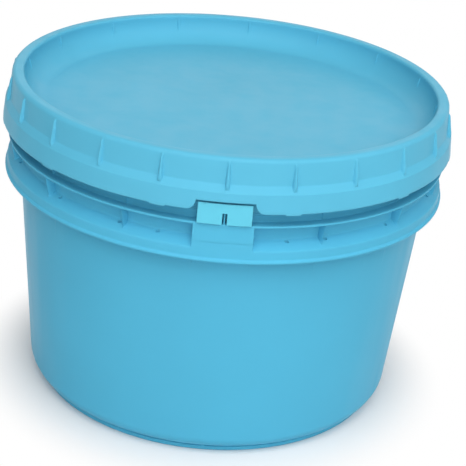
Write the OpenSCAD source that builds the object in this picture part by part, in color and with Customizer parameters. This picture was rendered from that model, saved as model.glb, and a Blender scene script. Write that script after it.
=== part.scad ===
// Wash bucket: a wide, low tapered pail with a press-on lid, a lid seal and a tamper tab.
// All sizes are in millimetres. +Z is up, the tamper tab faces -Y, and the origin is the
// centre of the foot ring's underside. Angles round the bucket start at the tab (-Y) and
// grow towards +X.

/* [Overall] */
// Height from the foot ring to the top of the lid's rim
overall_h = 263.1; // [215:0.1:330]
// Outermost diameter of the lid, at the lower edge of its skirt
lid_d = 366; // [290:1:440]

/* [Tub] */
// Thickness of the tub's wall
wall_t = 2.2; // [1.6:0.1:3]
// Thickness of the tub's floor
floor_t = 2.4; // [1.8:0.1:4]
// Lean of the tub's wall from the vertical, in degrees
wall_taper = 4.5; // [2:0.1:6]
// Outside radius of the rounded heel at the foot of the wall
heel_r = 13.5; // [10:0.5:24]
// Height of the floor's underside above the ground
floor_lift = 4; // [3:0.5:8]
// How far the foot ring stands in from the foot of the wall
foot_inset = 7.5; // [7:0.1:10]
// Thickness of the foot ring
foot_t = 2.6; // [2:0.1:4]
// Number of small bridges across the groove above the foot ring
foot_bridges = 10; // [4:1:16]
// Depth from the lid's top to where the wall stops tapering
rim_drop = 32.4; // [30:0.1:36]

/* [Collar] */
// Depth from the lid's top to the top of the thin flange
flange_drop = 50.9; // [48:0.1:60]
// Thickness of the flange
flange_t = 1.8; // [1.4:0.1:2.6]
// How far the flange's edge stands in from the lid's edge
flange_inset = 4.7; // [3.5:0.1:6]
// Depth from the lid's top to the edge of the sloping ledge
ledge_drop = 71; // [66:0.1:80]
// How far the ledge's edge stands in from the flange's edge
ledge_inset = 0.4; // [0:0.1:2]
// Rise of the sloping ledge from its edge to the wall
ledge_rise = 6; // [3:0.5:9]
// Depth from the lid's top to the collar's lower edge
collar_drop = 80.8; // [79:0.1:92]
// How far the collar's lower edge stands out from the flange's edge
collar_flare = 1.6; // [0:0.1:2.5]
// Thickness of the collar
collar_t = 2; // [1.6:0.1:2.8]
// Angle between the collar's ribs, in degrees
rib_pitch = 24.8; // [20:0.1:28]
// Thickness of each collar rib
rib_t = 1.8; // [1.2:0.1:2.6]
// How far the ribs' foot stands in from the flange's edge
rib_inset = 5; // [4.5:0.1:6]
// How far the ribs' top stands in from the flange's edge
rib_top_inset = 0.8; // [0.6:0.1:4]
// Diameter of the drain holes in the ledge
drain_d = 2.3; // [1.6:0.1:2.8]
// How far the drain holes' circle stands in from the flange's edge
drain_inset = 7.2; // [6.8:0.1:7.4]

/* [Lid] */
// Thickness of the lid
lid_t = 2; // [1.6:0.1:2.4]
// Depth of the lid's panel below the top of its rim
panel_depth = 22.4; // [20:0.1:26]
// Radius of the soft curve from the panel up to the rim
panel_fillet = 19; // [12:1:20]
// Radius that rounds the top of the rim
rim_round = 3; // [1:0.5:3]
// Depth of the step between the lid's upper and lower bands
step_drop = 22.6; // [21:0.1:27]
// How far the lower band stands out from the upper band
step_out = 5; // [4:0.1:6]
// How far the lower band leans out from the step to its edge
skirt_flare = 1.5; // [0.5:0.1:2.5]
// Depth of the skirt's lower edge below the lid's top
skirt_drop = 39.9; // [38:0.1:44]
// Number of upright gussets on the upper band
gussets = 23; // [12:1:30]
// Thickness of each gusset
gusset_t = 2.2; // [1.4:0.1:3]
// Width of each lug on the skirt's lower edge
lug_w = 11.5; // [6:0.5:16]
// Number of short marks on the inside of the rim
rim_marks = 16; // [8:1:24]
// Angle from the tab to the first of those marks, in degrees
mark_phase = 17.5; // [0:0.5:22.5]

/* [Fit] */
// Gap between the lid and the tub's rim, all round
lid_clear = 0.4; // [0.3:0.1:0.8]
// Gap between the seal and what it lies against
seal_clear = 0.3; // [0.3:0.1:0.5]
// Hairline between the tub's wall and the collar moulded round it
collar_joint = 0.05; // [0.02:0.01:0.1]
// Thickness of the seal ring
seal_t = 2; // [1.5:0.1:3]
// How far the rim's bead stands out
bead_out = 2.6; // [1.5:0.1:3.2]

/* [Tamper tab] */
// Width of the tab
tab_w = 40; // [28:0.5:50]
// Height of the tab
tab_h = 16.5; // [12:0.1:18]
// Thickness of the tab
tab_t = 2; // [1.4:0.1:2.4]
// Width of the slot in the tab's lower edge
slot_w = 3.4; // [2.5:0.1:6]
// Height of the slot
slot_h = 9; // [5:0.5:11]
// Gap between the tab's ends and the cut-out in the lid's skirt
tab_side_gap = 1.8; // [1:0.1:3]
// Gap above the tab, under the cut-out
tab_top_gap = 1.9; // [1:0.1:3]
// Gap between the tab and the block it stands over
tab_seat_gap = 0.3; // [0.3:0.1:0.6]
// Rounding of the skirt's corners beside the cut-out
cutout_r = 7; // [4:0.5:10]
// How far the block under the tab reaches past each end of the tab
block_margin = 2.5; // [1:0.5:6]

/* [Hidden] */
plastic = "#5fb6dc";
seal_colour = "#d9dde0";
tab_colour = "#6fcfe9";
$fn = 120;
sink = 0.8;            // how deep a joined rib or lug runs into its carrier
cut_over = 1;          // how far a cut runs past the face that it opens
arc_steps = 6;         // flats along each rounded stretch of an outline
edge = 0.5;            // small break on free edges

// Heights
flange_z = overall_h - flange_drop;
ledge_z = overall_h - ledge_drop;
collar_z = overall_h - collar_drop;
rim_z = overall_h - rim_drop;
step_z = overall_h - step_drop;
skirt_z = overall_h - skirt_drop;
panel_z = overall_h - panel_depth;
channel_z = overall_h - lid_t;
seal_z = channel_z - seal_t;
rim_top = seal_z - seal_clear;

// Radii at the lid and rim, from the outside in
lid_r = lid_d / 2;
lower_band_r = lid_r - skirt_flare;
band_r = lower_band_r - step_out;
channel_out = band_r - lid_t;
snap_in = 0.1;         // the snap ring stays shallow, so that the lid lifts straight off
bead_r = channel_out - lid_clear;
rim_r = bead_r - bead_out;
rim_in = rim_r - wall_t;
plug_r = rim_in - lid_clear;
plug_in = plug_r - lid_t;
panel_r = plug_in - panel_fillet;

// Radii down the collar
flange_r = lid_r - flange_inset;
ledge_r = flange_r - ledge_inset;
collar_r = flange_r + collar_flare;
rib_r = flange_r - rib_inset;
rib_top_r = flange_r - rib_top_inset;
drain_r = flange_r - drain_inset;

// Outside and inside radius of the tub's wall at a height
function wall_r(z) = rim_r - max(0, rim_z - z) * tan(wall_taper);
function wall_in(z) = wall_r(z) - wall_t;

// Top of the sloping ledge at a radius
ledge_in = wall_r(ledge_z + ledge_rise);
function ledge_top(r) = ledge_z + ledge_rise * (ledge_r - r) / (ledge_r - ledge_in);

// Radius of the recess in the lid's top at a height
function recess_r(z) = panel_r + sqrt(pow(panel_fillet, 2) - pow(panel_z + panel_fillet - z, 2));

// Points along an arc about [cx, cz], from angle a0 to angle a1
function arc(cx, cz, r, a0, a1) =
    [for (i = [0 : arc_steps]) let (a = a0 + (a1 - a0) * i / arc_steps) [cx + r * cos(a), cz + r * sin(a)]];

// Heel: centres of its outside and inside arcs, each tangent to the wall
foot_r = wall_r(0) - foot_inset;
groove_r = foot_r - 0.8;
heel_cz = floor_lift + heel_r;
heel_cx = wall_r(heel_cz - heel_r * sin(wall_taper)) - heel_r * cos(wall_taper);
heel_end = acos((groove_r - heel_cx) / heel_r);
heel_in = heel_r - wall_t;
floor_top = floor_lift + floor_t;
heel_in_cz = floor_top + heel_in;
heel_in_cx = wall_in(heel_in_cz - heel_in * sin(wall_taper)) - heel_in * cos(wall_taper);
groove_z = heel_cz - heel_r * sin(heel_end);

// Round the rim: a bead below the lid's upper band
bead_z = step_z + 2.5;
bead_h = 3;

// Collar ribs: a row each way from the tab and one at the back
rib_rows = floor(150 / rib_pitch);
rib_angles = concat([for (k = [1 : rib_rows], s = [-1, 1]) s * k * rib_pitch], [180]);
neck_rib_h = 9;
neck_rib_out = 1.6;
pocket_rib_lift = 4;

// Drain holes: one beside the block, then one each side of every rib
drain_before = 3.5;
drain_after = 1.5;
drain_first = 16;
drain_angles = concat(
    [for (s = [-1, 1]) s * drain_first],
    [for (k = [1 : rib_rows], s = [-1, 1]) s * (k * rib_pitch + drain_after)],
    [for (k = [2 : rib_rows], s = [-1, 1]) s * (k * rib_pitch - drain_before)]);

// Tab, the block under it and the web behind it
tab_back_r = flange_r + 0.1;
tab_r = tab_back_r + tab_t;
tab_z = flange_z + tab_seat_gap;
tab_top = tab_z + tab_h;
block_w = tab_w + 2 * block_margin;
cutout_w = tab_w + 2 * tab_side_gap;
cutout_z = tab_top + tab_top_gap;
web_t = 1.2;
web_h = 11.5;

gusset_out = 3.2;
gusset_top_out = 1;
gusset_top = overall_h - 3.2;
mark_t = 1.4;
mark_out = 0.8;
mark_top = 5;
mark_h = 7;
lug_h = 1;
lug_t = 2.4;

// A thin upright plate on a radius, drawn as points of radius and height
module radial_plate(angle, thick, points) {
    rotate([0, 0, angle - 90])
        rotate([90, 0, 0])
            linear_extrude(height = thick, center = true)
                polygon(points);
}

// Wall, floor, heel, foot ring and rim as one turned outline
module tub_shell() {
    rotate_extrude()
        polygon(concat(
            [[0, floor_lift], [foot_r - foot_t, floor_lift], [foot_r - foot_t, edge],
             [foot_r - foot_t + edge, 0], [foot_r - edge, 0], [foot_r, edge],
             [foot_r, groove_z - 1.2], [groove_r - 0.5, groove_z - 0.5]],
            arc(heel_cx, heel_cz, heel_r, -heel_end, -wall_taper),
            [[rim_r, rim_z], [rim_r, bead_z - bead_out], [bead_r, bead_z], [bead_r, bead_z + bead_h],
             [rim_r, bead_z + bead_h + bead_out], [rim_r, rim_top - edge], [rim_r - edge, rim_top],
             [rim_in + edge, rim_top], [rim_in, rim_top - edge], [rim_in, rim_z]],
            arc(heel_in_cx, heel_in_cz, heel_in, -wall_taper, -90),
            [[0, floor_top]]));
}

// Thin flange under the lid
module flange() {
    rotate_extrude()
        polygon([[wall_r(flange_z) - sink, flange_z - flange_t], [flange_r - edge, flange_z - flange_t],
                 [flange_r, flange_z - flange_t + edge], [flange_r, flange_z - edge],
                 [flange_r - edge, flange_z], [wall_r(flange_z) - sink, flange_z]]);
}

// Sloping ledge and the skirt that hangs from its edge, open underneath
module ledge_and_skirt() {
    lip = 0.5;
    rotate_extrude()
        polygon([[ledge_in - sink, ledge_top(ledge_in - sink)], [ledge_r - 1.5, ledge_top(ledge_r - 1.5)],
                 [ledge_r - 0.4, ledge_z - 0.3], [ledge_r, ledge_z - 1.4],
                 [collar_r - 0.1, collar_z + 3.2], [collar_r + lip, collar_z + 2.2],
                 [collar_r + lip, collar_z + edge], [collar_r, collar_z], [collar_r - collar_t, collar_z],
                 [ledge_r - collar_t, ledge_z - collar_t],
                 [ledge_in - sink, ledge_top(ledge_in - sink) - collar_t]]);
}

// Ribs across the groove between ledge and flange, and ribs in the pocket under the ledge
module collar_ribs() {
    pocket_z = collar_z + pocket_rib_lift;
    for (a = rib_angles) {
        radial_plate(a, rib_t,
            [[ledge_in - sink, ledge_top(ledge_in) - sink], [rib_r, ledge_top(rib_r) - sink],
             [rib_top_r, flange_z - sink], [ledge_in - sink, flange_z - sink]]);
        radial_plate(a, rib_t,
            [[wall_r(collar_z) - sink, pocket_z], [collar_r - collar_t + sink, pocket_z],
             [ledge_r - collar_t + sink, ledge_z - collar_t + sink],
             [ledge_in - sink, ledge_top(ledge_in) - collar_t + sink]]);
    }
}

// Short ribs on the tub's neck, above the flange
module neck_ribs() {
    z0 = flange_z + collar_joint;
    r = wall_r(flange_z);
    for (a = rib_angles)
        radial_plate(a, rib_t,
            [[r - sink, z0], [r + neck_rib_out, z0], [r + neck_rib_out, flange_z + neck_rib_h],
             [r - sink, flange_z + neck_rib_h]]);
}

// Space that the tub's wall takes, with the hairline joint round it
module wall_core() {
    z0 = collar_z - cut_over;
    z1 = flange_z + web_h + cut_over;
    rotate_extrude()
        polygon([[0, z0], [wall_r(z0) + collar_joint, z0], [wall_r(z1) + collar_joint, z1], [0, z1]]);
}

// Solid block that fills the groove under the tab, and the web behind the tab's slot
module tab_block() {
    intersection() {
        rotate_extrude()
            polygon([[wall_r(collar_z) - sink, collar_z + edge], [collar_r, collar_z + edge],
                     [collar_r - 0.1, collar_z + 3.2], [ledge_r, ledge_z - 1.4],
                     [flange_r, flange_z - edge], [flange_r - edge, flange_z],
                     [wall_r(flange_z) - sink, flange_z]]);
        translate([-block_w / 2, -lid_r, 0])
            cube([block_w, lid_r / 2, overall_h]);
    }
    radial_plate(0, web_t,
        [[wall_r(flange_z) - sink, flange_z - sink], [flange_r - tab_seat_gap, flange_z - sink],
         [flange_r - tab_seat_gap, flange_z + web_h], [wall_r(flange_z) - sink, flange_z + web_h]]);
}

module drain_holes() {
    for (a = drain_angles)
        rotate([0, 0, a])
            translate([0, -drain_r, ledge_z - collar_t - cut_over])
                cylinder(d = drain_d, h = ledge_rise + collar_t + 2 * cut_over);
}

module foot_bridge_ring() {
    for (i = [0 : foot_bridges - 1])
        radial_plate(i * 360 / foot_bridges, 2,
            [[foot_r - foot_t + edge, 1], [foot_r, 1], [foot_r, groove_z - 0.4],
             [groove_r, groove_z + 0.3], [foot_r - foot_t + edge, groove_z + 0.3]]);
}

module tub() {
    color(plastic) {
        tub_shell();
        neck_ribs();
        foot_bridge_ring();
    }
}

// Reinforcing collar round the tub's neck: flange, ribs, ledge, skirt and the block under the tab
module collar() {
    color(plastic)
        difference() {
            union() {
                flange();
                ledge_and_skirt();
                collar_ribs();
                tab_block();
            }
            wall_core();
            drain_holes();
        }
}

// Panel, recess curve, rim, seal channel and the two bands of the skirt as one turned outline
module lid_shell() {
    under_z = step_z - lid_t;
    rotate_extrude()
        polygon(concat(
            [[0, panel_z]],
            arc(panel_r, panel_z + panel_fillet, panel_fillet, -90, 0),
            arc(plug_in + rim_round, overall_h - rim_round, rim_round, 180, 90),
            arc(band_r - rim_round, overall_h - rim_round, rim_round, 90, 0),
            [[band_r, step_z + edge], [lower_band_r - 1.2, step_z], [lower_band_r, step_z - 1.2],
             [lid_r, skirt_z + edge], [lid_r - edge, skirt_z], [lid_r - lid_t, skirt_z],
             [lower_band_r - lid_t, under_z], [channel_out - snap_in, under_z],
             [channel_out - snap_in, under_z + 1], [channel_out, under_z + 1.2],
             [channel_out, channel_z], [plug_r, channel_z]],
            arc(panel_r, panel_z + panel_fillet, panel_fillet + lid_t, 0, -90),
            [[0, panel_z - lid_t]]));
}

module lid_gussets() {
    for (i = [0 : gussets - 1])
        radial_plate(i * 360 / gussets, gusset_t,
            [[band_r - sink, gusset_top], [band_r + gusset_top_out, gusset_top],
             [band_r + gusset_out, step_z - sink], [band_r - sink, step_z - sink]]);
}

// Short marks just inside the rim
module lid_rim_marks() {
    hi = overall_h - mark_top;
    lo = hi - mark_h;
    for (i = [0 : rim_marks - 1])
        radial_plate(mark_phase + i * 360 / rim_marks, mark_t,
            [[recess_r(hi) - mark_out, hi], [recess_r(hi) + sink, hi],
             [recess_r(lo) + sink, lo], [recess_r(lo) - mark_out, lo]]);
}

// Lugs under the skirt's edge, below every other gusset each way from the tab
module lid_lugs() {
    r = lid_r - edge - lug_t;
    for (k = [0 : floor(gussets / 4 - 0.5)])
        for (s = [-1, 1])
            rotate([0, 0, s * (2 * k + 1) * 360 / gussets])
                translate([-lug_w / 2, -r - lug_t, skirt_z - lug_h])
                    cube([lug_w, lug_t, lug_h + sink]);
}

// Opening in the skirt round the tab, with its lower corners rounded outwards
module tab_cutout() {
    rotate([90, 0, 0])
        translate([0, 0, channel_out])
            linear_extrude(height = lid_r)
                union() {
                    translate([-cutout_w / 2, skirt_z - cut_over - lug_h])
                        square([cutout_w, cutout_z - skirt_z + cut_over + lug_h]);
                    for (s = [-1, 1])
                        difference() {
                            translate([s * (cutout_w + cutout_r) / 2 - cutout_r / 2, skirt_z - cut_over])
                                square([cutout_r, cutout_r + cut_over]);
                            translate([s * (cutout_w / 2 + cutout_r), skirt_z + cutout_r])
                                circle(r = cutout_r);
                        }
                }
}

module lid() {
    color(plastic)
        difference() {
            union() {
                lid_shell();
                lid_gussets();
                lid_rim_marks();
                lid_lugs();
            }
            tab_cutout();
        }
}

// Flat ring in the top of the lid's channel, pressed on by the tub's rim
module lid_seal() {
    color(seal_colour)
        rotate_extrude()
            polygon([[plug_r + seal_clear, seal_z], [channel_out - seal_clear, seal_z],
                     [channel_out - seal_clear, channel_z], [plug_r + seal_clear, channel_z]]);
}

// Plate that follows the skirt's curve, with a slot open at its lower edge
module tamper_tab() {
    color(tab_colour)
        difference() {
            intersection() {
                translate([0, 0, tab_z])
                    difference() {
                        cylinder(r = tab_r, h = tab_h);
                        translate([0, 0, -cut_over])
                            cylinder(r = tab_back_r, h = tab_h + 2 * cut_over);
                    }
                translate([-tab_w / 2, -lid_r, tab_z - cut_over])
                    cube([tab_w, lid_r / 2, tab_h + 2 * cut_over]);
            }
            translate([-slot_w / 2, -lid_r, tab_z - cut_over])
                cube([slot_w, lid_r / 2, slot_h + cut_over]);
        }
}

tub();
collar();
lid();
lid_seal();
tamper_tab();
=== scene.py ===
"""Looks of the wash bucket: smooth mouldings, plastic finishes, a plain studio and the camera."""

import logging
import math
from dataclasses import dataclass, field
from enum import Enum
from typing import Sequence

import bpy
import numpy as np
from mathutils import Matrix, Vector


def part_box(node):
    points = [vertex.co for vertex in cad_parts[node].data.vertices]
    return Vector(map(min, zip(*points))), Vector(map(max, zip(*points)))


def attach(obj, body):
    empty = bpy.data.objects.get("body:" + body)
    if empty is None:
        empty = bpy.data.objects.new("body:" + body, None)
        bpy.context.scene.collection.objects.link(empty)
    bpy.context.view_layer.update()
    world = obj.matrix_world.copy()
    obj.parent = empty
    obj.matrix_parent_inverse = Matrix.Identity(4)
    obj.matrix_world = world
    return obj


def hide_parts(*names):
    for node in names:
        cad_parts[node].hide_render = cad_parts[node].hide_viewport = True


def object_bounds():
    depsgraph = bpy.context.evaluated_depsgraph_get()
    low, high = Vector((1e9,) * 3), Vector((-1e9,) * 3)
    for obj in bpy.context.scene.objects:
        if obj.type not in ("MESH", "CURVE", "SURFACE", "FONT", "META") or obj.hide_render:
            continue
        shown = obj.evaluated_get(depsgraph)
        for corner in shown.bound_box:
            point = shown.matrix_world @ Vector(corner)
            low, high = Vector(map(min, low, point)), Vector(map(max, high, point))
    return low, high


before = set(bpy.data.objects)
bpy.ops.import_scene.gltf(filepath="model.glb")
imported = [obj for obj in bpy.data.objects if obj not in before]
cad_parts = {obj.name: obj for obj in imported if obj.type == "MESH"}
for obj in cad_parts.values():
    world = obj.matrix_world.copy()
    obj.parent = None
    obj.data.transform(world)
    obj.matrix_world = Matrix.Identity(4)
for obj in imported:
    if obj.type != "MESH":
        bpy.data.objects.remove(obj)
CAD_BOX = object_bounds()

LOG = logging.getLogger("wash_bucket")
MM = 0.001
FULL_TURN = 2.0 * math.pi
SMOOTH_ANGLE = math.radians(38.0)
BEVEL_ANGLE = math.radians(50.0)
EVEN_COLUMNS = 120
LEAST_GAP = 0.28  # between an even column and a clustered one, as a share of the even spacing


class Body(Enum):
    """Bodies of the frame that the pieces ride on."""

    TUB = "tub_body"
    LID = "lid_body"
    TAB = "tab_body"


class Slot(Enum):
    """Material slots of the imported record."""

    TUB = "tub_plastic"
    LID = "lid_plastic"
    SEAL = "seal_rubber"
    TAB = "tab_plastic"


# ---------------------------------------------------------------- outlines and turned surfaces


@dataclass(frozen=True)
class Corner:
    """One corner of a turned outline.

    Attributes:
        r: Radius from the bucket's axis, in millimetres.
        z: Height above the ground, in millimetres.
        blend: Radius that rounds the corner, in millimetres.
        steps: Number of flats along the rounding.
        rows: Number of flats on the straight stretch to the next corner.
        tag: Name under which the outline reports the corner's row, or nothing.
    """

    r: float
    z: float
    blend: float = 0.0
    steps: int = 3
    rows: int = 1
    tag: str = ""


@dataclass(frozen=True)
class Outline:
    """Points of a turned outline, with the rows of its tagged corners.

    Attributes:
        points: Array of radius and height, one row a point, in millimetres.
        rows: Row number of each tagged corner.
    """

    points: np.ndarray
    rows: dict[str, int]


def unit(vector: np.ndarray) -> np.ndarray:
    """Returns the vector at length one."""
    return vector / np.linalg.norm(vector)


def wrap(angle: float | np.ndarray) -> float | np.ndarray:
    """Returns an angle brought to within half a turn of zero, in radians."""
    return (angle + math.pi) % FULL_TURN - math.pi


def rounded_corner(before: np.ndarray, corner: Corner, after: np.ndarray) -> np.ndarray:
    """Rounds one corner with an arc that touches both its sides.

    The arc's centre lies on the line that halves the corner's angle, at the blend radius over the
    sine of half that angle. It is swept from one touching point to the other.

    Args:
        before: Point before the corner.
        corner: The corner, with its blend radius.
        after: Point after the corner.

    Returns:
        Array of the arc's points, or the corner itself where it has no blend.
    """
    here = np.array([corner.r, corner.z])
    if corner.blend <= 0.0:
        return here[None, :]
    back, ahead = unit(before - here), unit(after - here)
    half = 0.5 * math.acos(float(np.clip(back @ ahead, -1.0, 1.0)))
    reach = corner.blend / math.tan(half)
    centre = here + unit(back + ahead) * corner.blend / math.sin(half)
    start, end = here + back * reach - centre, here + ahead * reach - centre
    first = math.atan2(start[1], start[0])
    sweep = wrap(math.atan2(end[1], end[0]) - first)
    turn = first + sweep * np.linspace(0.0, 1.0, corner.steps + 1)
    return centre + corner.blend * np.stack([np.cos(turn), np.sin(turn)], axis=1)


def trace(corners: Sequence[Corner]) -> Outline:
    """Joins corners into an outline with rounded corners and evenly divided straights.

    Args:
        corners: The corners in order, the first and last of them unrounded.

    Returns:
        The outline.
    """
    places = np.array([[c.r, c.z] for c in corners])
    before, after = np.roll(places, 1, axis=0), np.roll(places, -1, axis=0)
    arcs = [rounded_corner(b, c, a) for b, c, a in zip(before, corners, after)]
    pieces: list[np.ndarray] = []
    tagged: dict[str, int] = {}
    count = 0
    for index, (corner, arc) in enumerate(zip(corners, arcs)):
        if corner.tag:
            tagged[corner.tag] = count
        pieces.append(arc)
        count += len(arc)
        if corner.rows > 1 and index + 1 < len(corners):
            share = np.arange(1, corner.rows)[:, None] / corner.rows
            pieces.append(arc[-1] + (arcs[index + 1][0] - arc[-1]) * share)
            count += corner.rows - 1
    return Outline(np.concatenate(pieces), tagged)


def swept_arc(centre: tuple[float, float], radius: float, start: float, end: float,
              steps: int) -> list[Corner]:
    """Lists the corners along a large arc, given by its angles in degrees from the outward direction.

    Args:
        centre: Radius and height of the arc's centre.
        radius: Radius of the arc.
        start: Angle of the first corner, in degrees.
        end: Angle of the last corner, in degrees.
        steps: Number of flats.

    Returns:
        The corners, unrounded.
    """
    turn = np.radians(np.linspace(start, end, steps + 1))
    spots = np.stack([centre[0] + radius * np.cos(turn), centre[1] + radius * np.sin(turn)], axis=1)
    return [Corner(float(r), float(z)) for r, z in spots]


def columns(base: int, clusters: Sequence[np.ndarray]) -> np.ndarray:
    """Chooses the angles of a turned grid: evenly spaced ones, and clusters where features lie.

    An even angle is dropped where it comes close to a clustered one, so that no sliver is left.

    Args:
        base: Number of evenly spaced angles.
        clusters: Arrays of angles in radians.

    Returns:
        Sorted angles from 0 up to a full turn, in radians.
    """
    even = np.arange(base) * FULL_TURN / base
    if not clusters:
        return even
    dense = np.unique(np.round(np.concatenate([c.ravel() for c in clusters]) % FULL_TURN, 7))
    apart = np.abs(wrap(even[:, None] - dense[None, :])).min(axis=1)
    return np.sort(np.concatenate([even[apart > LEAST_GAP * FULL_TURN / base], dense]))


def around(angles_deg: Sequence[float], offsets_mm: Sequence[float], radius_mm: float) -> np.ndarray:
    """Returns a cluster of column angles, in radians, at offsets in millimetres about each angle."""
    return np.radians(np.asarray(angles_deg, float))[:, None] + np.asarray(offsets_mm, float) / radius_mm


def arc_offset(angle: np.ndarray, centres_deg: Sequence[float], radius_mm: float) -> np.ndarray:
    """Returns the distance in millimetres, along the circle, from each angle to the nearest centre."""
    centres = np.radians(np.asarray(centres_deg, float))
    return np.abs(wrap(angle[..., None] - centres)).min(axis=-1) * radius_mm


def ease(value: np.ndarray) -> np.ndarray:
    """Returns the smooth step of a value: 0 below 0, 1 above 1, and 3t^2 - 2t^3 between."""
    t = np.clip(value, 0.0, 1.0)
    return t * t * (3.0 - 2.0 * t)


def within(offset: np.ndarray, half: float, edge: float) -> np.ndarray:
    """Returns 1 where an offset is inside a half width, 0 outside it, eased over an edge between."""
    return ease((half + edge / 2 - offset) / edge)


def soft_max(a: np.ndarray, b: np.ndarray, width: float) -> np.ndarray:
    """Returns the larger of two fields, rounded by a parabola where they cross within the width."""
    h = np.clip(0.5 + 0.5 * (a - b) / width, 0.0, 1.0)
    return b + (a - b) * h + width * h * (1.0 - h)


@dataclass
class TurnedGrid:
    """A surface of revolution on a grid of outline rows and angle columns, open to local changes.

    A point is x = r sin a, y = -r cos a, z = z, so angle 0 faces the tab and grows towards +X. Each
    row of the grid is one point of the outline, and its radius and height may vary with the angle.

    Attributes:
        outline: The outline, traced so that the material lies on its left.
        angles: The columns' angles in radians.
        loop: Whether the outline closes on itself, and doesn't end on the axis.
        radius: Radius of every grid point, in millimetres.
        height: Height of every grid point, in millimetres.
        turn: Small turn of every grid point about the axis, in radians.
        drilled: Row above, row below, first column and cells of each drilled block.
    """

    outline: Outline
    angles: np.ndarray
    loop: bool = False
    radius: np.ndarray = field(init=False)
    height: np.ndarray = field(init=False)
    turn: np.ndarray = field(init=False)
    drilled: list[tuple[int, int, int, int]] = field(init=False, default_factory=list)

    def __post_init__(self) -> None:
        """Spreads the outline over the columns."""
        shape = (len(self.outline.points), len(self.angles))
        self.radius = np.broadcast_to(self.outline.points[:, :1], shape).copy()
        self.height = np.broadcast_to(self.outline.points[:, 1:], shape).copy()
        self.turn = np.zeros(shape)

    @property
    def angle(self) -> np.ndarray:
        """Angle of every grid point, in radians."""
        return np.broadcast_to(self.angles[None, :], self.radius.shape)

    def drill(self, angle_deg: float, top_tag: str, under_tag: str, cells: int, hole_r: float,
              centre_r: float) -> None:
        """Opens a round hole between two stretches of the outline that lie back to back.

        A square block of cells on each stretch is taken out. The block's rim is moved onto a circle:
        each rim point keeps its direction from the hole's centre and takes the hole's radius.

        Args:
            angle_deg: Angle of the hole's centre, in degrees.
            top_tag: Tag of the first row of the upper block.
            under_tag: Tag of the first row of the lower block, whose rows run the other way.
            cells: Number of cells along each side of the block.
            hole_r: Radius of the hole, in millimetres.
            centre_r: Radius at which the hole's centre lies, in millimetres.
        """
        centre = math.radians(angle_deg) % FULL_TURN
        middle = int(np.abs(wrap(self.angles - centre)).argmin())
        first_col = middle - cells // 2
        cols = (first_col + np.arange(cells + 1)) % len(self.angles)
        top, under = self.outline.rows[top_tag], self.outline.rows[under_tag]
        for start in (top, under):
            rows = np.arange(start, start + cells + 1)
            block = np.ix_(rows, cols)
            line = self.outline.points[rows]
            along = unit(line[-1] - line[0])
            mid = 0.5 * (line[0] + line[-1])
            u = ((line - mid) @ along)[:, None] * np.ones(cells + 1)
            side = wrap(self.angles[cols] - centre) * centre_r
            v = np.ones((cells + 1, 1)) * side[None, :]
            rim = np.zeros_like(u, bool)
            rim[[0, -1], :] = True
            rim[:, [0, -1]] = True
            scale = np.where(rim, hole_r / np.maximum(np.hypot(u, v), 1e-6), 1.0)
            self.radius[block] = mid[0] + along[0] * u * scale
            self.height[block] = mid[1] + along[1] * u * scale
            self.turn[block] = v * (scale - 1.0) / centre_r
        self.drilled.append((top, under, first_col, cells))

    def points(self) -> np.ndarray:
        """Turns the grid's radii, heights and angles into points.

        Returns:
            Array of points in metres, row by row.
        """
        angle = self.angle + self.turn
        spots = np.stack([self.radius * np.sin(angle), -self.radius * np.cos(angle), self.height], axis=-1)
        return spots.reshape(-1, 3) * MM

    def quads(self) -> np.ndarray:
        """Joins neighbouring grid points into faces, with drilled blocks left out and holes walled.

        Returns:
            Array of faces of four corners, anticlockwise as seen from outside.
        """
        rows, cols = self.radius.shape
        last = rows if self.loop else rows - 1
        i, j = np.meshgrid(np.arange(last), np.arange(cols), indexing="ij")
        keep = np.ones((last, cols), bool)
        for top, under, first, cells in self.drilled:
            span = (first + np.arange(cells)) % cols
            keep[np.ix_(np.arange(top, top + cells), span)] = False
            keep[np.ix_(np.arange(under, under + cells), span)] = False
        i2, j2 = (i + 1) % rows, (j + 1) % cols
        faces = np.stack([i * cols + j, i * cols + j2, i2 * cols + j2, i2 * cols + j], axis=-1)
        walls = [self.hole_wall(*d) for d in self.drilled]
        return np.concatenate([faces[keep], *walls])

    def hole_wall(self, top: int, under: int, first: int, cells: int) -> np.ndarray:
        """Joins the two rims of one drilled hole.

        Args:
            top: First row of the upper block.
            under: First row of the lower block.
            first: First column of both blocks.
            cells: Number of cells along each side of a block.

        Returns:
            Array of faces, one for each step round the rim.
        """
        run, zero, full = np.arange(cells), np.zeros(cells, int), np.full(cells, cells)
        m = np.concatenate([zero, run, full, cells - run])
        n = np.concatenate([run, full, cells - run, zero])
        cols = self.radius.shape[1]
        upper = (top + m) * cols + (first + n) % cols
        lower = (under + cells - m) * cols + (first + n) % cols
        return np.stack([upper, np.roll(upper, -1), np.roll(lower, -1), lower], axis=1)

    def mesh_data(self) -> tuple[np.ndarray, list[np.ndarray]]:
        """Gathers the surface, with its two poles closed by fans where the outline is open.

        Returns:
            Points in metres, and arrays of faces with one number of corners each.
        """
        spots, quads = self.points(), self.quads()
        if self.loop:
            return spots, [quads]
        rows, cols = self.radius.shape
        run = np.arange(cols)
        nxt = (run + 1) % cols
        ends = MM * np.array([[0.0, 0.0, self.height[0].mean()], [0.0, 0.0, self.height[-1].mean()]])
        low, high = len(spots), len(spots) + 1
        first = np.stack([np.full(cols, low), nxt, run], axis=1)
        last = np.stack([(rows - 1) * cols + run, (rows - 1) * cols + nxt, np.full(cols, high)], axis=1)
        return np.concatenate([spots, ends]), [quads, first, last]


def link_object(name: str, data: bpy.types.ID) -> bpy.types.Object:
    """Makes an object and links it into the scene.

    Args:
        name: Name of the object.
        data: Its mesh, camera or lamp.

    Returns:
        The object, at the origin.
    """
    obj = bpy.data.objects.new(name, data)
    bpy.context.scene.collection.objects.link(obj)
    return obj


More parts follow.
